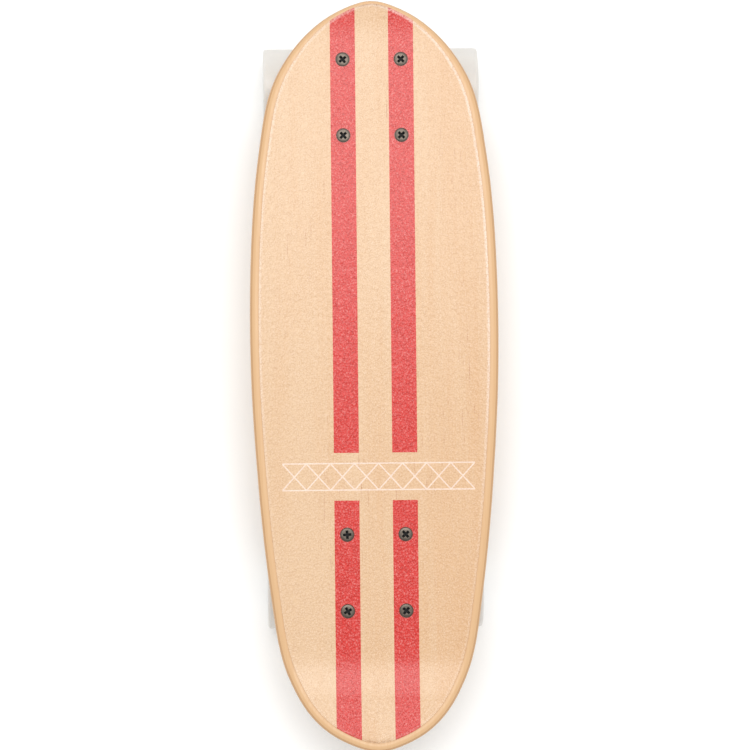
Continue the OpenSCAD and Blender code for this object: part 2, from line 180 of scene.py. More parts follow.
def turned(profile, n, shape=None, loop=False):
    """A profile of (radius, height) turned about Z. shape(angle, radius, height) changes the radius."""
    a = np.arange(n) * 2 * np.pi / n
    rings = []
    for r, z in profile:
        radii = np.full(n, float(r)) if shape is None else shape(a, r, z)
        rings.append(np.stack([radii * np.cos(a), radii * np.sin(a), np.full(n, float(z))], -1))
    return shell(rings, loop)


def fillet(points, steps=4):
    """A closed profile whose corners (radius, height, rounding) become arcs."""
    out = []
    for i, (r, z, round_r) in enumerate(points):
        here = np.array([r, z], float)
        if round_r == 0:
            out.append(here)
            continue
        before = np.array(points[i - 1][:2], float) - here
        after = np.array(points[(i + 1) % len(points)][:2], float) - here
        u, v = before / np.linalg.norm(before), after / np.linalg.norm(after)
        half = math.acos(max(-1, min(1, float(u @ v)))) / 2
        longest = min(np.linalg.norm(before), np.linalg.norm(after)) / 2.01
        reach = min(round_r / math.tan(half), longest)
        radius = reach * math.tan(half)
        centre = here + (u + v) / np.linalg.norm(u + v) * radius / math.sin(half)
        start, stop = here + u * reach - centre, here + v * reach - centre
        a0 = math.atan2(start[1], start[0])
        sweep = (math.atan2(stop[1], stop[0]) - a0 + math.pi) % (2 * math.pi) - math.pi
        for k in range(steps + 1):
            a = a0 + sweep * k / steps
            out.append(centre + radius * np.array([math.cos(a), math.sin(a)]))
    return out


def ring_part(points, n=64, steps=4):
    """A turned piece with a bore, from a closed profile of (radius, height, rounding)."""
    return turned(fillet(points, steps), n, loop=True)


def tube(r_out, r_in, z0, z1, edge):
    return ring_part([(r_in, z0, edge), (r_out, z0, edge), (r_out, z1, edge), (r_in, z1, edge)], 64, 2)


def hexed(across):
    """Keeps a turned shape inside a hexagon."""
    return lambda a, r, z: np.minimum(r, across / 2 / np.cos(a % (np.pi / 3) - np.pi / 6))


def hex_sizes(across):
    """A hexagon's corner radius, and the inner radius and the height of its 30 degree chamfer."""
    corner = across / 2 / math.cos(math.pi / 6) + 0.02
    flat = across / 2 * 0.96
    return corner, flat, (corner - flat) * math.tan(math.radians(30))


def chamfer(across, z0, z1, hole):
    """Profile of a hexagonal body between two heights, both ends chamfered."""
    corner, flat, rise = hex_sizes(across)
    bore_edge = 0.35
    out = [(hole, z0 + bore_edge), (hole + bore_edge, z0)]
    out += [(flat + (corner - flat) * t, z0 + rise * t) for t in np.linspace(0, 1, 6)]
    out += [(flat + (corner - flat) * t, z1 - rise * t) for t in np.linspace(1, 0, 6)]
    return out


def threaded(r, z0, z1, pitch, depth):
    """A rod's profile and shape with a real helical thread between z0 and z1."""
    run_in = 0.8
    count = int((z1 - z0) / pitch * 7)
    profile = [(r, z) for z in np.linspace(z0, z1, count)]

    def shape(a, radius, z):
        if not z0 <= z <= z1:
            return np.full_like(a, float(radius))
        wave = np.abs((z / pitch - a / (2 * np.pi)) % 1 - 0.5) * 2
        fade = min(1.0, (z - z0) / run_in, (z1 - z) / run_in)
        flat = np.clip(wave * 1.35 - 0.15, 0, 1)
        return radius - depth * (1 - flat) * (0.35 + 0.65 * max(fade, 0.0))

    return profile, shape


def evaluated(obj):
    """Applies obj's modifiers to its mesh."""
    graph = bpy.context.evaluated_depsgraph_get()
    graph.update()
    mesh = bpy.data.meshes.new_from_object(obj.evaluated_get(graph))
    old = obj.data
    obj.modifiers.clear()
    obj.data = mesh
    bpy.data.meshes.remove(old)


def cut(obj, *cutters):
    """Takes the cutters away from obj, and removes them."""
    for c in cutters:
        m = obj.modifiers.new("cut", "BOOLEAN")
        m.operation, m.solver, m.object = "DIFFERENCE", "EXACT", c
    evaluated(obj)
    for c in cutters:
        bpy.data.objects.remove(c)


def copy_of(node):
    """A free, welded copy of a CAD node's mesh, with its flat faces whole."""
    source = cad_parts[node]
    mesh = source.data.copy()
    obj = bpy.data.objects.new(node + "_copy", mesh)
    bpy.context.scene.collection.objects.link(obj)
    for name in ("custom_normal", "sharp_face", "sharp_edge"):
        if name in mesh.attributes:
            mesh.attributes.remove(mesh.attributes[name])
    bm = bmesh.new()
    bm.from_mesh(mesh)
    bmesh.ops.remove_doubles(bm, verts=bm.verts, dist=2e-6)
    bm.to_mesh(mesh)
    bm.free()
    mesh.materials.clear()
    return obj


def cast(node, name):
    """A cast copy of a CAD node: every edge and inner corner gets the soft radius of a mould."""
    voxel, rounds = 0.5, 9
    obj = copy_of(node)
    remesh = obj.modifiers.new("cast", "REMESH")
    remesh.mode, remesh.voxel_size, remesh.adaptivity = "VOXEL", voxel * MM, 0.0
    soft = obj.modifiers.new("soft", "SMOOTH")
    soft.factor, soft.iterations = 0.5, rounds
    evaluated(obj)
    obj.name = name
    obj.data.shade_smooth()
    return obj


def eased(node, name, edge):
    """A copy of a CAD node with its edges eased."""
    obj = copy_of(node)
    bm = bmesh.new()
    bm.from_mesh(obj.data)
    bmesh.ops.dissolve_limit(bm, angle_limit=math.radians(0.5), verts=bm.verts, edges=bm.edges)
    bm.to_mesh(obj.data)
    bm.free()
    bevel = obj.modifiers.new("ease", "BEVEL")
    bevel.width, bevel.segments, bevel.limit_method = edge * MM, 2, "ANGLE"
    bevel.angle_limit = math.radians(30)
    evaluated(obj)
    obj.name = name
    tidy(obj)
    return obj


# ---- shader tools ----


def colour(r, g, b):
    """An sRGB colour of 0 to 255 as linear numbers."""
    out = []
    for v in (r, g, b):
        v /= 255
        out.append(v / 12.92 if v <= 0.04045 else ((v + 0.055) / 1.055) ** 2.4)
    return (*out, 1.0)


class Shader:
    """A material's nodes. Its position socket gives the shared frame's place in millimetres."""

    def __init__(self, name, **fixed):
        self.mat = bpy.data.materials.new(name)
        self.mat.use_nodes = True
        self.tree = self.mat.node_tree
        self.tree.nodes.clear()
        out = self.put("ShaderNodeOutputMaterial")
        self.bsdf = self.put("ShaderNodeBsdfPrincipled")
        self.tree.links.new(self.bsdf.outputs[0], out.inputs[0])
        for key, value in fixed.items():
            self.bsdf.inputs[key.replace("_", " ")].default_value = value
        place = self.put("ShaderNodeTexCoord").outputs["Object"]
        scaled = self.put("ShaderNodeVectorMath", {0: place, 3: 1 / MM}, operation="SCALE")
        self.pos = scaled.outputs[0]
        split = self.put("ShaderNodeSeparateXYZ", {0: self.pos})
        self.x, self.y, self.z = split.outputs

    def put(self, kind, inputs=None, **props):
        node = self.tree.nodes.new(kind)
        for key, value in props.items():
            setattr(node, key, value)
        for key, value in (inputs or {}).items():
            self.join(value, node.inputs[key])
        return node

    def join(self, value, socket):
        if isinstance(value, bpy.types.NodeSocket):
            self.tree.links.new(value, socket)
        else:
            socket.default_value = value

    def drive(self, name, value):
        self.join(value, self.bsdf.inputs[name])

    def math(self, operation, *values):
        return self.put("ShaderNodeMath", dict(enumerate(values)), operation=operation).outputs[0]

    def step(self, value, low, high, a=0.0, b=1.0):
        """value from low to high as a to b, smooth and clamped."""
        inputs = {0: value, 1: low, 2: high, 3: a, 4: b}
        return self.put("ShaderNodeMapRange", inputs, interpolation_type="SMOOTHSTEP").outputs[0]

    def mix(self, share, a, b):
        return self.put("ShaderNodeMix", {0: share, 6: a, 7: b}, data_type="RGBA").outputs[2]

    def stretched(self, sx, sy, sz, shift=0.0):
        """The position with each axis scaled, and moved so that no two patterns are alike."""
        moved = (shift, shift * 1.7, shift * 0.6)
        return self.put("ShaderNodeMapping", {0: self.pos, 1: moved, 3: (sx, sy, sz)}).outputs[0]

    def noise(self, vector, scale, detail, rough=0.5, distortion=0.0):
        inputs = {"Vector": vector, "Scale": scale, "Detail": detail, "Roughness": rough}
        inputs["Distortion"] = distortion
        return self.put("ShaderNodeTexNoise", inputs).outputs["Fac"]

    def cells(self, vector, scale):
        """Distance to the nearest of many scattered points."""
        return self.put("ShaderNodeTexVoronoi", {"Vector": vector, "Scale": scale}).outputs["Distance"]

    def bump(self, height, strength, depth_mm, before=None):
        inputs = {"Height": height, "Strength": strength, "Distance": depth_mm * MM}
        if before is not None:
            inputs["Normal"] = before
        return self.put("ShaderNodeBump", inputs).outputs[0]


def metal(name, tone, rough, grain, fleck, pit_mm, stretch=(1, 1, 1)):
    """A metal with patches of tone and gloss, and fine pits or tool marks."""
    s = Shader(name, Metallic=1.0)
    patches = s.noise(s.pos, 0.09, 4, 0.6)
    fine = s.noise(s.stretched(*stretch), grain, 3, 0.6)
    light = colour(*tone)
    dark = tuple(c * 0.72 for c in light[:3]) + (1.0,)
    share = s.math("ADD", s.math("MULTIPLY", patches, 0.6), s.math("MULTIPLY", fine, 0.4))
    s.drive("Base Color", s.mix(s.step(share, 0.25, 0.75), dark, light))
    s.drive("Roughness", s.step(share, 0.2, 0.8, rough + fleck, rough - fleck))
    s.drive("Normal", s.bump(fine, 0.5, pit_mm))
    return s.mat


def moulded(name, tone, rough, grain, pit_mm, shade=0.8, **fixed):
    """A moulded plastic or rubber with a fine skin and cloudy tone."""
    s = Shader(name, **fixed)
    clouds = s.noise(s.pos, 0.06, 4, 0.6)
    skin = s.noise(s.pos, grain, 3, 0.7)
    light = colour(*tone)
    dark = tuple(c * shade for c in light[:3]) + (1.0,)
    share = s.math("ADD", s.math("MULTIPLY", clouds, 0.75), s.math("MULTIPLY", skin, 0.25))
    s.drive("Base Color", s.mix(s.step(share, 0.3, 0.7), dark, light))
    s.drive("Roughness", s.step(skin, 0.3, 0.7, rough - 0.06, rough + 0.06))
    s.drive("Normal", s.bump(skin, 0.45, pit_mm))
    return s


def wood_tone(s, light, tan, streak):
    """Maple: pale and tan bands along the board, fine fibres, and short thin pore streaks."""
    bands = s.noise(s.stretched(0.0035, 0.045, 0.045, 3.1), 1.0, 3, 0.55, 0.4)
    fibres = s.noise(s.stretched(0.02, 0.9, 0.9, 7.7), 1.0, 4, 0.65)
    # Painted shade: the wood gets tanner towards the board's -Y side
    side = s.step(s.y, 90, -90)
    share = s.math("ADD", s.math("MULTIPLY", bands, 0.6), s.math("MULTIPLY", fibres, 0.25))
    share = s.math("ADD", share, s.math("MULTIPLY", side, 0.15))
    tone = s.mix(s.step(share, 0.36, 0.7), light, tan)
    pores = s.noise(s.stretched(0.06, 1.6, 1.6, 12.3), 1.0, 1, 0.4)
    sparse = s.noise(s.stretched(0.008, 0.03, 0.03, 21.0), 1.0, 2, 0.5)
    mark = s.math("MULTIPLY", s.step(pores, 0.68, 0.76), s.step(sparse, 0.5, 0.62))
    return s.mix(s.math("MULTIPLY", mark, 0.65), tone, streak), fibres


def bolt_gap_shade(s, tone):
    """Paints shade into the gap round each bolt's head, as a dark ring."""
    front = s.math("GREATER_THAN", s.x, (TRUCK_X["front"] + TRUCK_X["rear"]) / 2)
    reach = TRUCK_X["front"] - TRUCK_X["rear"]
    mid = s.math("ADD", s.math("MULTIPLY", front, reach), TRUCK_X["rear"])
    bx = s.math("SUBTRACT", s.math("ABSOLUTE", s.math("SUBTRACT", s.x, mid)), BOLT_DX)
    by = s.math("SUBTRACT", s.math("ABSOLUTE", s.y), BOLT_DY)
    far = s.math("SQRT", s.math("ADD", s.math("MULTIPLY", bx, bx), s.math("MULTIPLY", by, by)))
    return s.mix(s.step(far, 5.4, 4.9, 0.0, 0.85), tone, colour(72, 44, 36))


def maple():
    s = Shader("maple", IOR=1.5, Coat_Weight=0.1, Coat_Roughness=0.2)
    s.bsdf.inputs["Specular IOR Level"].default_value = 0.3
    face, fibres = wood_tone(s, colour(220, 190, 154), colour(208, 172, 130), colour(160, 108, 70))
    depth = s.put("ShaderNodeAttribute", attribute_name="ply").outputs["Fac"]
    layers = s.math("MULTIPLY", depth, 7.0)
    cross = s.math("PINGPONG", layers, 1.0)
    odd = s.math("GREATER_THAN", s.math("FRACT", s.math("MULTIPLY", layers, 0.5)), 0.5)
    along = s.mix(fibres, colour(214, 178, 136), colour(202, 160, 116))
    end_grain = s.noise(s.stretched(0.5, 0.5, 3.0), 1.6, 3, 0.6)
    across = s.mix(end_grain, colour(202, 162, 118), colour(180, 134, 92))
    plies = s.mix(odd, along, across)
    shallow = s.math("MINIMUM", depth, s.math("SUBTRACT", 1.0, depth))
    glue = s.step(s.math("MINIMUM", cross, s.math("SUBTRACT", 1.0, cross)), 0.07, 0.02)
    glue = s.math("MULTIPLY", glue, s.step(shallow, 0.02, 0.05))
    plies = s.mix(s.math("MULTIPLY", glue, 0.55), plies, colour(120, 78, 44))
    # The face and plies get a dark ring of painted shade round each bolt's head
    s.drive("Base Color", bolt_gap_shade(s, s.mix(s.step(depth, 0.0, 0.02), face, plies)))
    s.drive("Roughness", s.step(fibres, 0.3, 0.7, 0.36, 0.48))
    s.drive("Normal", s.bump(fibres, 0.25, 0.05))
    return s.mat


def red_bands(s, wobble):
    """1 on the two red bands, which a gap splits, and 0 off them."""
    across = s.math("ABSOLUTE", s.y)
    band = s.math("ABSOLUTE", s.math("SUBTRACT", s.math("ADD", across, wobble), BOLT_DY))
    in_band = s.step(band, BAND_HALF + 0.1, BAND_HALF - 0.1)
    gap = s.math("ABSOLUTE", s.math("SUBTRACT", s.math("ADD", s.x, wobble), GAP_X))
    return s.math("MULTIPLY", in_band, s.step(gap, GAP_HALF, GAP_HALF + 0.25))


def border(s):
    """1 on two crossing zigzags between two straight lines, and 0 off them."""
    v = s.math("SUBTRACT", s.x, GAP_X)
    u = s.math("SUBTRACT", s.y, BORDER_Y)
    back_and_forth = s.math("PINGPONG", s.math("ADD", u, BORDER_HALF), ZIGZAG_STEP)
    centred = s.math("SUBTRACT", back_and_forth, ZIGZAG_STEP / 2)
    zig = s.math("MULTIPLY", centred, ZIGZAG_TALL / ZIGZAG_STEP)
    lean = ZIGZAG_STEP / math.hypot(ZIGZAG_STEP, ZIGZAG_TALL)
    one = s.math("MULTIPLY", s.math("ABSOLUTE", s.math("SUBTRACT", v, zig)), lean)
    two = s.math("MULTIPLY", s.math("ABSOLUTE", s.math("ADD", v, zig)), lean)
    rails = s.math("ABSOLUTE", s.math("SUBTRACT", s.math("ABSOLUTE", v), ZIGZAG_TALL / 2))
    line = s.step(s.math("MINIMUM", s.math("MINIMUM", one, two), rails), 0.56, 0.36)
    inside = s.math("LESS_THAN", s.math("ABSOLUTE", u), BORDER_HALF)
    low = s.math("LESS_THAN", s.math("ABSOLUTE", v), ZIGZAG_TALL / 2 + 0.6)
    return s.math("MULTIPLY", s.math("MULTIPLY", line, inside), low)


def clear_grip():
    """Clear grit over printed maple: two red bands, and a plain geometric border between them."""
    s = Shader("clear_grip", IOR=1.5, Coat_Weight=0.25, Coat_Roughness=0.18)
    s.bsdf.inputs["Specular IOR Level"].default_value = 0.25
    wood, _ = wood_tone(s, colour(213, 180, 144), colour(208, 168, 127), colour(168, 112, 78))
    wobble = s.math("MULTIPLY", s.math("SUBTRACT", s.noise(s.pos, 0.8, 2), 0.5), 0.25)
    on_red = red_bands(s, wobble)
    red_noise = s.noise(s.pos, 0.9, 3, 0.7)
    red = s.mix(s.step(red_noise, 0.35, 0.68), colour(194, 38, 31), colour(208, 49, 41))
    tone = s.mix(on_red, wood, red)
    tone = s.mix(s.math("MULTIPLY", border(s), 0.62), tone, colour(240, 222, 212))
    # Painted shade: a dark ring round each bolt's head
    tone = bolt_gap_shade(s, tone)

    # The grit: painted shadows in its hollows and painted glints on its grains, both a little stronger on the
    # red
    grit = s.cells(s.pos, 0.62)
    fine = s.noise(s.pos, 0.8, 3, 0.65)
    grit_glint = s.math("MULTIPLY", s.step(grit, 0.75, 0.2), s.step(fine, 0.42, 0.68))
    grit_shadow = s.step(fine, 0.54, 0.34)
    grit_shadow_share = s.math("ADD", s.math("MULTIPLY", on_red, 0.26), 0.1)
    tone = s.mix(s.math("MULTIPLY", grit_shadow, grit_shadow_share), tone, colour(128, 26, 18))
    grit_glint_share = s.math("ADD", s.math("MULTIPLY", on_red, 0.04), 0.15)
    tone = s.mix(s.math("MULTIPLY", grit_glint, grit_glint_share), tone, colour(255, 230, 222))

    # A painted highlight along the sheet's edge, pale and speckled, most of all along the front of one side
    edge = s.put("ShaderNodeAttribute", attribute_name="from_edge").outputs["Fac"]
    edge_highlight = s.math("MULTIPLY", s.step(edge, 2.6, 1.2), s.step(fine, 0.36, 0.6, 0.35, 1.0))
    edge_highlight = s.math("MULTIPLY", edge_highlight, s.step(s.y, 50, -50, 0.3, 0.55))
    edge_highlight = s.math("MULTIPLY", edge_highlight, s.step(s.x, -130, 20, 0.2, 1.0))
    tone = s.mix(edge_highlight, tone, colour(236, 220, 208))
    s.drive("Base Color", tone)
    s.drive("Roughness", s.step(fine, 0.3, 0.7, 0.2, 0.32))
    lumps = s.math("ADD", s.math("MULTIPLY", s.step(grit, 0.85, 0.1), 0.5), s.math("MULTIPLY", fine, 0.5))
    s.drive("Normal", s.bump(lumps, 1.0, 0.45))
    return s.mat


def urethane_wheel():
    s = moulded("wheel_urethane", (214, 211, 206), 0.42, 0.9, 0.04, 0.94, IOR=1.5)
    s.bsdf.inputs["Subsurface Weight"].default_value = 0.25
    s.bsdf.inputs["Subsurface Radius"].default_value = (1.0, 0.9, 0.75)
    s.bsdf.inputs["Subsurface Scale"].default_value = 0.003
    lines = s.noise(s.stretched(0.05, 5.0, 0.05), 1.0, 2, 0.6)
    skin = s.noise(s.pos, 1.2, 3, 0.6)
    s.drive("Normal", s.bump(lines, 0.35, 0.05, s.bump(skin, 0.3, 0.04)))
    return s.mat


def urethane_bushing():
    s = moulded("bushing_urethane", (206, 62, 52), 0.34, 1.1, 0.03, 0.78, IOR=1.5, Coat_Weight=0.2)
    s.bsdf.inputs["Subsurface Weight"].default_value = 0.2
    s.bsdf.inputs["Subsurface Radius"].default_value = (1.0, 0.25, 0.15)
    s.bsdf.inputs["Subsurface Scale"].default_value = 0.002
    return s.mat


MATERIALS = {
    "maple": maple(),
    "clear_grip": clear_grip(),
    "riser_rubber": moulded("riser_rubber", (46, 45, 44), 0.72, 1.6, 0.06).mat,
    "bolt_steel": metal("bolt_steel", (96, 88, 80), 0.42, 1.5, 0.07, 0.02),
    # Near-black painted shade for the bolts' cross recesses
    "bolt_recess_shade": moulded("bolt_recess_shade", (9, 8, 8), 0.7, 1.5, 0.03).mat,
    "nut_steel": metal("nut_steel", (196, 198, 202), 0.3, 1.2, 0.07, 0.015),
    "nut_nylon": moulded("nut_nylon", (224, 226, 222), 0.45, 1.2, 0.02, 0.9).mat,
    "cast_aluminium": metal("cast_aluminium", (196, 197, 198), 0.42, 1.5, 0.07, 0.06),
    "cup_urethane": moulded("cup_urethane", (38, 37, 36), 0.55, 1.3, 0.03).mat,
    "kingpin_steel": metal("kingpin_steel", (178, 178, 180), 0.3, 1.1, 0.07, 0.015),
    "washer_steel": metal("washer_steel", (200, 200, 202), 0.26, 0.9, 0.06, 0.012),
    "bushing_urethane": urethane_bushing(),
    "axle_steel": metal("axle_steel", (172, 173, 176), 0.28, 0.8, 0.06, 0.015, (1, 6, 1)),
    "spacer_aluminium": metal("spacer_aluminium", (206, 206, 206), 0.33, 0.8, 0.06, 0.012),
    "bearing_steel": metal("bearing_steel", (206, 207, 210), 0.18, 0.7, 0.05, 0.006),
    "wheel_urethane": urethane_wheel(),
    "shield_rubber": moulded("shield_rubber", (34, 34, 35), 0.5, 1.6, 0.02).mat,
    "ball_steel": metal("ball_steel", (214, 215, 218), 0.1, 0.5, 0.03, 0.003),
    "cage_nylon": moulded("cage_nylon", (206, 158, 92), 0.5, 1.2, 0.02).mat,
}


def dress(obj, slot, *more):
    obj.data.materials.clear()
    for name in (slot, *more):
        obj.data.materials.append(MATERIALS[name])


def finished(obj, slot, body, *nodes, more=()):
    """Gives a new piece its material and its body, and hides the CAD nodes that it stands for."""
    dress(obj, slot, *more)
    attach(obj, body)
    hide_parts(*nodes)


# ---- deck ----


def bend(d, r, angle):
    """Height gained past the start of a bend of radius r that ends at angle."""
    a = math.radians(angle)
    arc = r - np.sqrt(np.maximum(r * r - np.clip(d, 0, r * math.sin(a)) ** 2, 0))
    return arc + np.maximum(d - r * math.sin(a), 0) * math.tan(a)


def deck_z(x, y, z):
    """The height of a point that has height z in the deck's flat middle."""
    dish = np.maximum(np.abs(y) - STRIP_HALF, 0) ** 2 / 2 / DISH_R
    return z + bend(KICK_X - x, KICK_R, KICK_ANGLE) + bend(x - NOSE_X, NOSE_R, NOSE_ANGLE) + dish


def girth(a):
    """The half width of the outline's ellipse at angle a, by a smooth curve through GIRTHS."""
    last = len(GIRTHS) - 1
    s = a / 180 * last
    i = np.floor(s).astype(int)
    t = s - i
    p, q, r, n = (GIRTHS[last - np.abs(last - np.abs(i + k))] for k in (-1, 0, 1, 2))
    return q + t / 2 * (r - p + t * (2 * p - 5 * q + 4 * r - n + t * (3 * (q - r) + n - p)))


def rim(a):
    """Points of the outline at angles a, which run from the nose round by +Y."""
    folded = np.where(a > 180, 360 - a, np.abs(a))
    c, s = np.cos(np.radians(a)), np.sin(np.radians(a))
    return np.stack([DECK_LEN / 2 * c, girth(folded) * s], -1)


def edge_share(a):
    """Share of its full width that the rounded edge has: it is tighter round the nose."""
    t = np.minimum(np.where(a > 180, 360 - a, a) / FULL_EDGE_ANGLE, 1)
    return NOSE_EDGE_SHARE + (1 - NOSE_EDGE_SHARE) * t * t * (3 - 2 * t)


def inset(a, d):
    """Points of the outline moved inwards by d, or by less round the nose."""
    run = rim(a + 1) - rim(a - 1)
    out = np.stack([run[:, 1], -run[:, 0]], -1) / np.linalg.norm(run, axis=1)[:, None]
    return rim(a) - d * edge_share(a)[:, None] * out


def contoured(loops, angles, cols_top, cols_low):
    """A sheet with the deck's outline, from loops of (inset, height) that run from top to bottom."""
    rows = len(angles) - 1
    round_angles = np.concatenate([angles, 360 - angles[-2:0:-1]])
    n = 2 * rows
    rings = []
    for d, z in loops:
        p = inset(round_angles, d)
        rings.append(np.column_stack([p, deck_z(p[:, 0], p[:, 1], z)]))
    verts, faces = shell(rings)
    faces = faces[:-2]
    base = len(verts)
    parts = [verts]
    for level, cols, up in ((0, cols_top, True), (len(loops) - 1, cols_low, False)):
        d, z = loops[level]
        p = inset(angles[1:-1], d)
        share = 1 - 2 * np.arange(1, cols + 1) / (cols + 1)
        x = np.repeat(p[:, :1], cols, 1)
        y = p[:, 1:] * share
        parts.append(np.stack([x, y, deck_z(x, y, z)], -1).reshape(-1, 3))
        rim0 = level * n
        i = np.arange(rows + 1)[:, None]
        c = np.arange(cols + 2)[None]
        ids = base + (i - 1) * cols + c - 1
        ids = np.where(c == 0, rim0 + i, np.where(c > cols, rim0 + n - i, ids))
        ids = np.where(i == 0, rim0, np.where(i == rows, rim0 + rows, ids))
        quads = np.stack([ids[:-1, :-1], ids[1:, :-1], ids[1:, 1:], ids[:-1, 1:]], -1).reshape(-1, 4)
        for q in quads.tolist():
            face = list(dict.fromkeys(q))
            faces.append(face if up else face[::-1])
        base += len(parts[-1])
    return np.concatenate(parts), faces


def spread_angles(rows, even):
    """Angles round half the deck. even is how far the rows are spaced evenly along it."""
    t = np.linspace(0, 1, rows + 1)
    return (1 - even) * 180 * t + even * np.degrees(np.arccos(1 - 2 * t))


def bolt_places(end):
    return [(TRUCK_X[end] + sx * BOLT_DX, sy * BOLT_DY, sx, sy) for sx in (1, -1) for sy in (1, -1)]


def sinks(name, profile):
    """The bolts' holes as one cutter."""
    parts = []
    for end in ENDS:
        for x, y, _, _ in bolt_places(end):
            parts.append(placed(turned(profile, 48), Matrix.Translation((x, y, 0))))
    return make(name, *together(parts))


def build_deck():
    half = DECK_T / 2
    bands = 22
    sweep = np.radians(90 - 180 * np.arange(bands + 1) / bands)
    loops = [(half * (1 - math.cos(a)), DECK_BOTTOM + half + half * math.sin(a)) for a in sweep]
    deck = make("deck_board", *contoured(loops, spread_angles(230, 0.35), 40, 40))
    sink_z = BOLT_TOP - BOLT_RIM
    hole = 2.75
    mouth = BOLT_HEAD_R + 0.05
    cone = (mouth - hole) / SINK_SLOPE
    profile = [(hole, DECK_BOTTOM - 2), (hole, sink_z - cone), (mouth, sink_z), (mouth, sink_z + 6)]
    cut(deck, sinks("deck_sinks", profile))
    tidy(deck)
    # Each point's place between the deck's bottom and its top, which stays under 1, for the plies
    points = np.array([v.co for v in deck.data.vertices]) / MM
    ply = deck.data.attributes.new("ply", "FLOAT", "POINT")
    share = (points[:, 2] - deck_z(points[:, 0], points[:, 1], DECK_BOTTOM)) / DECK_T
    ply.data.foreach_set("value", np.clip(share, 0, 0.999).astype(np.float32))
    finished(deck, "maple", "board", "deck")


def build_grip():
    edge = BARE_EDGE
    rounding = [(edge + 0.5, GRIP_TOP), (edge + 0.2, GRIP_TOP - 0.1), (edge, GRIP_TOP - 0.35)]
    loops = rounding + [(edge, DECK_TOP)]
    rows = 430
    verts, faces = contoured(loops, spread_angles(rows, 0.85), 186, 8)
    # Pebbles: the top's inner points sink by up to 0.1, and the outline's loops stay as they are
    pebbles = np.random.default_rng(11)
    inner = verts[:, 2] > deck_z(verts[:, 0], verts[:, 1], GRIP_TOP) - 0.01
    inner[: len(loops) * 2 * rows] = False
    verts[inner, 2] -= pebbles.random(int(inner.sum())) * 0.1
    grip = make("grip_skin", verts, faces)
    cut(grip, sinks("grip_holes", [(GRIP_HOLE_R, DECK_TOP - 5), (GRIP_HOLE_R, GRIP_TOP + 5)]))
    tidy(grip)
    # Each point's distance from the sheet's edge, for the painted highlight there
    outline = inset(np.linspace(0, 360, 3600, endpoint=False), edge)
    tree = KDTree(len(outline))
    for i, (x, y) in enumerate(outline):
        tree.insert((x, y, 0), i)
    tree.balance()
    far = [tree.find((v.co.x / MM, v.co.y / MM, 0))[2] for v in grip.data.vertices]
    from_edge = grip.data.attributes.new("from_edge", "FLOAT", "POINT")
    from_edge.data.foreach_set("value", far)
    finished(grip, "clear_grip", "board", "grip_sheet")


build_deck()
build_grip()


# ---- fasteners ----


def cross_wedge(length, width, depth, turn):
    """One arm pair of a cross recess, tapering as it goes down."""
    rings = []
    for z, share in ((-depth, 0.42), (0.5, 1.12)):
        a, b = length / 2 * share, width / 2 * (0.75 + 0.3 * share)
        rings.append([(-a, -b, z), (a, -b, z), (a, b, z), (-a, b, z)])
    return make("wedge", *placed(shell(rings), Matrix.Rotation(turn, 4, "Z")))


def bolt_mesh():
    """A countersunk bolt with a cross recess and a threaded end; its head's top is z = 0."""
    thread_top = -14.0
    thread, shape = threaded(BOLT_R, -BOLT_LEN + 0.5, thread_top, FINE_PITCH, 0.42)
    profile = [(BOLT_R - 0.55, -BOLT_LEN)] + thread + [(BOLT_R, -BOLT_RIM - BOLT_CONE)]
    profile += [(BOLT_HEAD_R - 0.02, -0.34), (BOLT_HEAD_R, -0.24)]
    profile += [(BOLT_HEAD_R - 0.1, -0.08), (BOLT_HEAD_R - 0.32, 0)]
    bolt = make("bolt_master", *turned(profile, 40, shape))
    core = make("core", *turned([(0.4, -2.5), (1.35, -0.6), (1.5, 0.5)], 24))
    cross = [cross_wedge(length=6.1, width=1.8, depth=2.1, turn=turn) for turn in (0, math.pi / 2)]
    cut(bolt, *cross, core)
    mesh = bolt.data
    verts = np.array([v.co for v in mesh.vertices]) / MM
    faces = [list(p.vertices) for p in mesh.polygons]
    bpy.data.objects.remove(bolt)
    return verts, faces


BOLT = bolt_mesh()
# How far each cross is turned, in degrees, by truck and by place: outboard or inboard, left or right
CROSS_TURN = {
    "front": {(1, 1): 38, (1, -1): 47, (-1, 1): 43, (-1, -1): 45},
    "rear": {(1, 1): 4, (1, -1): 42, (-1, 1): 29, (-1, -1): 50},
}


def build_bolts(end):
    parts = []
    for x, y, sx, sy in bolt_places(end):
        turn = Matrix.Rotation(math.radians(CROSS_TURN[end][sx, sy]), 4, "Z")
        parts.append(placed(BOLT, Matrix.Translation((x, y, BOLT_TOP)) @ turn))
    obj = make(end + "_bolts", *together(parts), sharp=28)
    finished(obj, "bolt_steel", "board", end + "_truck_bolts", more=("bolt_recess_shade",))
    # The recess gets a near-black painted shade: its faces lie near a bolt's axis, a little way below its top
    spots = np.array([(x, y) for x, y, _, _ in bolt_places(end)])
    for p in obj.data.polygons:
        middle = np.array(p.center) / MM
        near = np.min(np.hypot(*(spots - middle[:2]).T))
        if near < 3.2 and BOLT_TOP - 2.6 < middle[2] < BOLT_TOP - 0.03:
            p.material_index = 1


def lock_nut(across, hex_h, collar_r, collar_h, hole):
    """Steel part and nylon part of a locking nut that stands on z = 0."""
    top = hex_h + collar_h
    profile = chamfer(across, 0, hex_h, hole)
    profile += [(collar_r + 0.3, hex_h), (collar_r, hex_h + 0.2), (collar_r, top - 0.7)]
    profile += [(collar_r - 0.2, top - 0.22), (collar_r - 0.6, top), (collar_r - 1.0, top - 0.12)]
    profile += [(collar_r - 1.05, top - 0.5), (hole + 0.3, top - 0.9), (hole, top - 1.2)]
    steel = turned(profile, 96, hexed(across), loop=True)
    inner, outer = hole - 0.12, collar_r - 1.02
    ring = [(inner, top - 1.3, 0), (outer, top - 1.0, 0), (outer, top - 0.3, 0.1), (inner, top - 0.3, 0.12)]
    return steel, ring_part(ring, 48, 2)


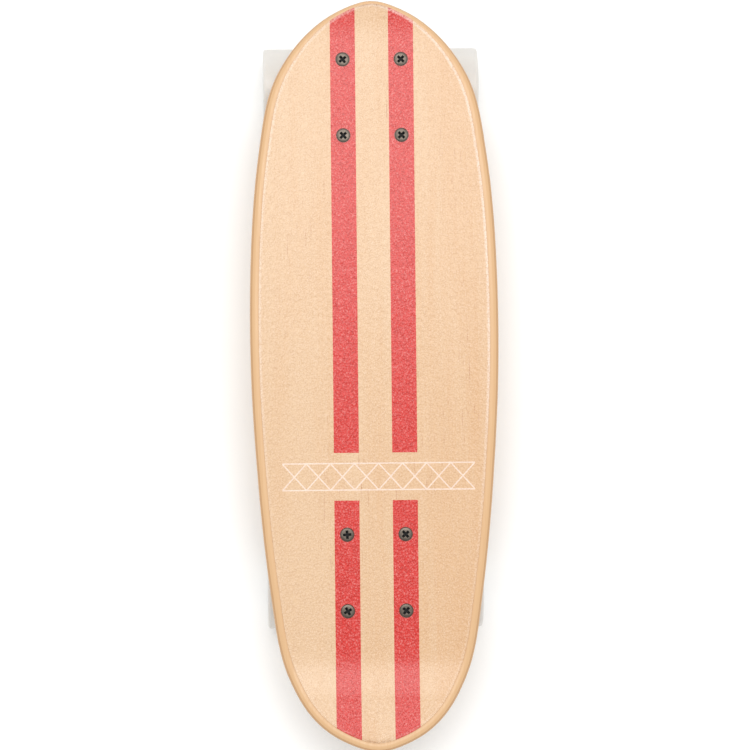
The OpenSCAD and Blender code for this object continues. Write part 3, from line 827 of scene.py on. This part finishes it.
def build_nuts(name, body, node, sizes, places):
    """Locking nuts at several places, with nylon in their collars."""
    steel, nylon = lock_nut(*sizes)
    parts = [placed(part, m) for part in (steel, nylon) for m in places]
    obj = make(name, *together(parts), sharp=32)
    finished(obj, "nut_steel", body, node, more=("nut_nylon",))
    count = len(steel[1]) * len(places)
    for p in obj.data.polygons[count:]:
        p.material_index = 1


# ---- trucks ----


def truck_matrix(end):
    """Origin in the middle of a base plate's top, with X outboard."""
    turn = Matrix.Rotation(0 if end == "front" else math.pi, 4, "Z")
    return Matrix.Translation((TRUCK_X[end], 0, PLATE_TOP)) @ turn


def kingpin_matrix(end, t=0.0):
    """Origin t along the kingpin from the hanger's ring, with Z along it towards the deck."""
    lean = Matrix.Translation((RING[0], 0, RING[1])) @ Matrix.Rotation(KINGPIN_TILT, 4, "Y")
    return truck_matrix(end) @ lean @ Matrix.Translation((0, 0, t))


def axle_matrix(end, out):
    """Origin in the axle's middle, with Z out towards the truck's own +Y or -Y end."""
    turn = Matrix.Rotation(-out * math.pi / 2, 4, "X")
    return truck_matrix(end) @ Matrix.Translation((AXLE[0], 0, AXLE[1])) @ turn


FLIP = Matrix.Rotation(math.pi, 4, "X")


def cup_washer(r):
    """A pressed cup washer that holds the end of a bushing of radius r; its back is z = 1.5."""
    hole, lip, back = KINGPIN_R + 0.3, r + 0.15, WASHER_T
    skirt = lip + 1.1
    inside = [(hole, 0, 0.2), (lip - 0.3, 0, 0.3), (lip, -0.3, 0.2), (lip, -1.5, 0.25)]
    outside = [(skirt, -1.5, 0.5), (skirt, back - 0.1, 1.2), (lip - 1, back, 1.5), (hole, back, 0.25)]
    return ring_part(inside + outside)


def build_kingpin(end):
    low, head, across = -27.5, 23.5, 14.3
    top, thread_top = head + 6, -14.0
    thread, shape = threaded(KINGPIN_R, low + 0.9, thread_top, COARSE_PITCH, 0.55)
    shank = turned([(KINGPIN_R - 1.0, low)] + thread + [(KINGPIN_R, head + 1)], 48, shape)
    corner, flat, rise = hex_sizes(across)
    profile = [(across / 2 - 0.2, head), (corner, head + 0.1), (corner, top - rise)]
    profile += [(flat + (corner - flat) * t, top - rise * t) for t in np.linspace(0.8, 0, 5)]
    body = turned(profile, 96, hexed(across))
    parts = [placed(p, kingpin_matrix(end)) for p in (shank, body)]
    obj = make(end + "_kingpin_bolt", *together(parts), sharp=32)
    finished(obj, "kingpin_steel", "board", end + "_kingpin")


def build_bushing(end, name, node, profile, foot, heights):
    """A bushing whose foot is at foot on the kingpin."""
    part = turned(refine(fillet(profile), heights), 72, loop=True)
    obj = make(name, *placed(part, kingpin_matrix(end, foot)))
    dress(obj, "bushing_urethane")
    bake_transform(obj)
    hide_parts(node)


def build_bushings(end):
    """The barrel between base plate and hanger, and the cone under the hanger."""
    soft, bore = 1.1, 5
    h = BUSHING_TOP - WEB_HALF
    barrel = [(bore, 0, 0.3), (BUSHING_R, 0, soft), (BUSHING_R, h, soft), (bore, h, 0.3)]
    build_bushing(
        end, end + "_bushing_board", end + "_bottom_bushing",
        barrel, WEB_HALF, np.linspace(0, h, 13),
    )
    h = -BUSHING_LOW - WEB_HALF
    cone = [(bore, 0, 0.3), (CONE_R, 0, soft), (BUSHING_R, h - 2.2, 2.0), (BUSHING_R, h, 0.9), (bore, h, 0.3)]
    build_bushing(
        end, end + "_bushing_road", end + "_top_bushing",
        cone, BUSHING_LOW, np.linspace(0, h, 11),
    )


def refine(profile, heights):
    """Adds points where a closed profile passes each height."""
    out = []
    for i, p in enumerate(profile):
        q = profile[(i + 1) % len(profile)]
        out.append(p)
        inside = [z for z in heights if min(p[1], q[1]) + 0.05 < z < max(p[1], q[1]) - 0.05]
        for z in sorted(inside, reverse=bool(q[1] < p[1])):
            out.append(p + (q - p) * (z - p[1]) / (q[1] - p[1]))
    return out


def build_axle(end):
    """The axle and what stays still on it: speed rings, spacers and the bearings' inner races."""
    hanger = end + "_hanger"
    parts = []
    for out in (1, -1):
        thread, shape = threaded(AXLE_R, 0.9, 10.0, COARSE_PITCH, 0.5)
        local = [(AXLE_R - 0.9, 0)] + thread + [(AXLE_R, AXLE_HALF)]
        tip = Matrix.Translation((0, 0, AXLE_HALF)) @ FLIP
        parts.append(placed(turned(local, 48, shape), axle_matrix(end, out) @ tip))
    obj = make(end + "_axle_rod", *together(parts), sharp=32)
    finished(obj, "axle_steel", hanger, end + "_axle")

    rings, spacers, races = [], [], []
    bore = AXLE_R + 0.08
    inner_race = grooved(BORE_R, INNER_LAND, True)
    for out in (1, -1):
        axle = axle_matrix(end, out)
        for z in (HANGER_HALF, NUT_SEAT - RING_T):
            rings.append(placed(tube(6, bore, z, z + RING_T, 0.2), axle))
        spacers.append(placed(tube(5.3, bore, IN_BEARING + RACE_W, OUT_BEARING, 0.3), axle))
        for z in (IN_BEARING, OUT_BEARING):
            races.append(placed(inner_race, axle @ Matrix.Translation((0, 0, z + RACE_W / 2))))
    obj = make(end + "_axle_washers", *together(rings))
    finished(obj, "washer_steel", hanger, end + "_speed_rings")
    obj = make(end + "_spacers", *together(spacers))
    finished(obj, "spacer_aluminium", hanger, end + "_bearing_spacers")
    obj = make(end + "_bearing_cores", *together(races))
    finished(obj, "bearing_steel", hanger, end + "_inner_races")


def grooved(r_in, r_out, inner):
    """A bearing race centred on z = 0, with the balls' groove on its outer or inner face."""
    half = RACE_W / 2
    land = PITCH_R - INNER_LAND if inner else OUTER_LAND - PITCH_R
    reach = math.acos(land / GROOVE_R)
    arc = np.linspace(-reach, reach, 11)
    if inner:
        groove = [(PITCH_R - GROOVE_R * math.cos(a), GROOVE_R * math.sin(a)) for a in arc]
        corner = fillet([(r_out, half, 0.15), (r_in, half, 0.4), (r_in, -half, 0.4), (r_out, -half, 0.15)], 3)
        return turned([np.array(p) for p in groove] + corner, 72, loop=True)
    groove = [(PITCH_R + GROOVE_R * math.cos(a), GROOVE_R * math.sin(a)) for a in arc]
    step = half - 0.75
    upper = [(r_in, step, 0), (STEP_R, step, 0.1), (STEP_R, half, 0.15), (r_out, half, 0.5)]
    lower = [(r, -z, rounding) for r, z, rounding in reversed(upper)]
    return turned([np.array(p) for p in groove] + fillet(upper + lower, 3), 72, loop=True)


# Locking nuts: width across flats, hexagon's height, collar's radius and height, and bore
TRUCK_NUT = (9.5, 4.2, 4.3, 1.6, BOLT_R + 0.02)
KINGPIN_NUT = (14.3, 6.5, 6.6, 2.0, KINGPIN_R + 0.02)
AXLE_NUT = (12.7, 4.6, 5.6, 1.4, AXLE_R + 0.02)


def build_truck(end):
    hanger = end + "_hanger"
    build_bolts(end)
    below = Matrix.Translation((0, 0, PLATE_TOP - PLATE_T)) @ FLIP
    places = [Matrix.Translation((x, y, 0)) @ below for x, y, _, _ in bolt_places(end)]
    build_nuts(end + "_lock_nuts", "board", end + "_truck_nuts", TRUCK_NUT, places)
    places = [kingpin_matrix(end, BUSHING_LOW - WASHER_T) @ FLIP]
    build_nuts(end + "_kingpin_lock_nut", "board", end + "_kingpin_nut", KINGPIN_NUT, places)
    places = [axle_matrix(end, out) @ Matrix.Translation((0, 0, NUT_SEAT)) for out in (1, -1)]
    build_nuts(end + "_axle_lock_nuts", hanger, end + "_axle_nuts", AXLE_NUT, places)
    finished(eased(end + "_riser_pad", end + "_riser", 0.3), "riser_rubber", "board", end + "_riser_pad")
    finished(cast(end + "_baseplate", end + "_plate_casting"), "cast_aluminium", "board", end + "_baseplate")
    finished(cast(hanger, end + "_hanger_casting"), "cast_aluminium", hanger, hanger)
    finished(eased(end + "_pivot_cup", end + "_cup", 0.2), "cup_urethane", "board", end + "_pivot_cup")
    build_kingpin(end)
    build_bushings(end)
    washer = placed(cup_washer(BUSHING_R), kingpin_matrix(end, BUSHING_TOP))
    finished(make(end + "_cup_washer_board", *washer), "washer_steel", "board", end + "_bottom_washer")
    washer = placed(cup_washer(CONE_R), kingpin_matrix(end, BUSHING_LOW) @ FLIP)
    finished(make(end + "_cup_washer_road", *washer), "washer_steel", "board", end + "_top_washer")
    build_axle(end)


for end in ENDS:
    build_truck(end)


# ---- wheels ----


def wheel_part():
    """A urethane wheel: rounded lips, dished faces, and a stepped bore for two bearings."""
    near, far = WHEEL_IN, WHEEL_IN + WHEEL_W
    mid = (near + far) / 2
    lip, sunk, core_r = 2.5, 0.7, 9.4
    in_end, out_end = IN_BEARING + RACE_W, OUT_BEARING + RACE_W
    # The dish between a face's outer ring and its hub: radius, rounding and depth of its corners
    dish = ((25.6, 0.8, 0), (24.9, 0.5, sunk), (16.4, 0.5, sunk), (15.6, 0.5, 0.1))
    tread = [(WHEEL_R, near, lip), (WHEEL_R, mid - 0.5, 0), (WHEEL_R, mid, 0)]
    tread += [(WHEEL_R, mid + 0.5, 0), (WHEEL_R, far, lip)]
    outer_face = [(r, far - depth, rounding) for r, rounding, depth in dish]
    inner_face = [(r, near + depth, rounding) for r, rounding, depth in reversed(dish)]
    bore = [(WHEEL_RECESS_R, far - 0.1, 1.0), (WHEEL_RECESS_R, out_end, 0.2), (RACE_R, out_end, 0.2)]
    bore += [(RACE_R, OUT_BEARING, 0.1), (core_r, OUT_BEARING, 0.3), (core_r, in_end, 0.3)]
    bore += [(RACE_R, in_end, 0.1), (RACE_R, IN_BEARING, 0.2)]
    bore += [(WHEEL_RECESS_R, IN_BEARING, 0.2), (WHEEL_RECESS_R, near + 0.1, 1.0)]
    return turned(fillet(tread + outer_face + bore + inner_face, 6), 144, loop=True)


def shield():
    """A bearing's rubber seal: a ribbed disc, centred on z = 0 and 0.4 thick."""
    r0, r1, half, sunk = INNER_LAND + 0.3, STEP_R, 0.2, 0.08
    profile = [(r0, -half, 0.1), (r1, -half, 0.1), (r1, half, 0.15), (8.6, half, 0.05), (8.4, sunk, 0.05)]
    profile += [(7.3, sunk, 0.05), (7.1, half, 0.05), (r0, half, 0.15)]
    return ring_part(profile, 72, 2)


WHEEL = wheel_part()
SHIELD = shield()
OUTER_RACE = grooved(OUTER_LAND, RACE_R, False)


def build_wheel(end, side):
    """A tyre with its bearings' outer races and seals. The balls and cages keep their CAD meshes."""
    corner = f"{end}_{side}"
    body = corner + "_wheel"
    # The rear truck is turned about, so its own +Y end is on the right
    out = 1 if (end == "front") == (side == "left") else -1
    axle = axle_matrix(end, out)
    middles = [axle @ Matrix.Translation((0, 0, z + RACE_W / 2)) for z in (IN_BEARING, OUT_BEARING)]
    tyre = make(corner + "_tyre", *placed(WHEEL, axle), sharp=40)
    finished(tyre, "wheel_urethane", body, corner + "_wheel")
    races = make(corner + "_bearing_rims", *together([placed(OUTER_RACE, m) for m in middles]))
    finished(races, "bearing_steel", body, corner + "_outer_races")
    seal_z = RACE_W / 2 - 0.5
    faces = ((seal_z, Matrix()), (-seal_z, FLIP))
    places = [m @ Matrix.Translation((0, 0, z)) @ turn for m in middles for z, turn in faces]
    seals = make(corner + "_seals", *together([placed(SHIELD, m) for m in places]))
    finished(seals, "shield_rubber", body, corner + "_bearing_shields")
    dress(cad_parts[corner + "_bearing_balls"], "ball_steel")
    dress(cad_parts[corner + "_ball_cages"], "cage_nylon")


for end in ENDS:
    for side in SIDES:
        build_wheel(end, side)


# ---- stage, light and camera ----


def build_stage():
    """A pale paper floor, as a grid of squares."""
    size = 9000.0
    n = 8
    line = np.linspace(-size, size, n + 1)
    gx, gy = np.meshgrid(line, line, indexing="ij")
    verts = np.stack([gx, gy, np.zeros_like(gx)], -1).reshape(-1, 3)
    ids = np.arange((n + 1) ** 2).reshape(n + 1, n + 1)
    faces = np.stack([ids[:-1, :-1], ids[1:, :-1], ids[1:, 1:], ids[:-1, 1:]], -1).reshape(-1, 4)
    floor = make("floor", verts, faces.tolist())
    s = Shader("floor_paper", Roughness=0.9)
    s.bsdf.inputs["Specular IOR Level"].default_value = 0.1
    clouds = s.noise(s.pos, 0.004, 3)
    s.drive("Base Color", s.mix(clouds, colour(246, 246, 245), colour(250, 250, 249)))
    floor.data.materials.append(s.mat)


def softbox(place, target, width, depth, power):
    """A rectangular lamp. Its places and sizes are in metres."""
    lamp = bpy.data.lights.new("softbox", "AREA")
    lamp.shape, lamp.size, lamp.size_y, lamp.energy = "RECTANGLE", width, depth, power
    obj = bpy.data.objects.new("softbox", lamp)
    bpy.context.scene.collection.objects.link(obj)
    obj.location = place
    obj.rotation_euler = (Vector(target) - Vector(place)).to_track_quat("-Z", "Y").to_euler()


build_stage()
scene = bpy.context.scene
scene.view_settings.view_transform = "Standard"
world = bpy.data.worlds.new("studio")
world.use_nodes = True
background = world.node_tree.nodes["Background"]
background.inputs["Color"].default_value = (1.0, 1.0, 1.0, 1.0)
background.inputs["Strength"].default_value = 0.85
scene.world = world
# High over the floor in front of the nose, so that the front half and the kick shine a little
softbox(place=(0.815, 0, 3.6), target=(0.815, 0, 0), width=1.25, depth=1.9, power=70)

# The camera is above the deck, a little behind its middle and to its left, the nose at the picture's top
MM_PER_PIXEL = 0.7067
PICTURE = 750
HEIGHT = 2200.0
ROLL = math.radians(-0.58)
camera = bpy.data.cameras.new("camera")
camera.sensor_width = 36.0
camera.lens = camera.sensor_width * HEIGHT / (MM_PER_PIXEL * PICTURE)
camera.clip_start, camera.clip_end = 0.05, 60
eye = bpy.data.objects.new("camera", camera)
scene.collection.objects.link(eye)
aim = Vector((-0.4, -0.15, DECK_TOP))
OFFSET = Vector((-54.0, 48.0, HEIGHT))
eye.location = (aim + OFFSET) * MM
back = OFFSET.normalized()
right = Vector((math.cos(ROLL), math.sin(ROLL), 0)).cross(back).normalized()
up = back.cross(right)
eye.rotation_euler = Matrix((right, up, back)).transposed().to_euler()
scene.camera = eye
